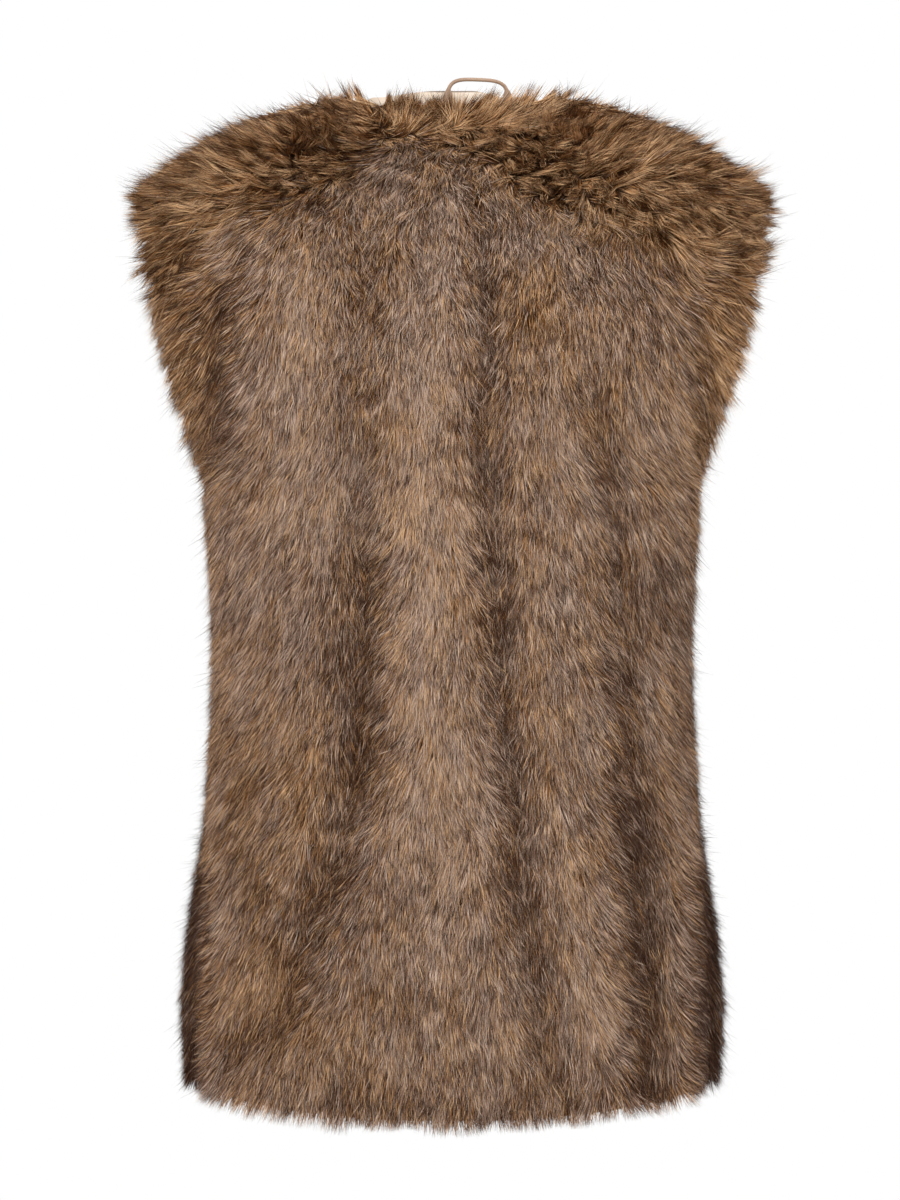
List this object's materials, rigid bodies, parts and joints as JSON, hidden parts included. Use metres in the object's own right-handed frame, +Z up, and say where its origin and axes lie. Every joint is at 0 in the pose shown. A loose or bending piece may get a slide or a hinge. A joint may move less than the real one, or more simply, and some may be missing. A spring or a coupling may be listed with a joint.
{
  "type": "faux fur vest",
  "caption": "Sleeveless open-front vest of long-pile faux fur with wide shoulders, a satin back neck facing and a hanger loop, filled out as if worn.",
  "frame": {"origin": "between the shoulders, under the middle of the neck hole and at the height where the shoulder seams meet the neck, where the wearer's shoulders hold the vest", "axes": "+Z up, -Y out of the wearer's back, +Y out of the chest, +X to the wearer's right"},
  "size_m": [0.4596, 0.2722, 0.7372],
  "materials": {
    "fur": "long soft pile, golden brown at the shoulders and mauve brown below, with dark tips",
    "satin_facing": "smooth cream satin",
    "satin_loop": "smooth light brown satin"
  },
  "bodies": {
    "root": {"back": "fur", "front_left": "fur", "front_right": "fur", "back_neck_facing": "satin_facing", "hanger_loop": "satin_loop"}
  },
  "joints": []
}
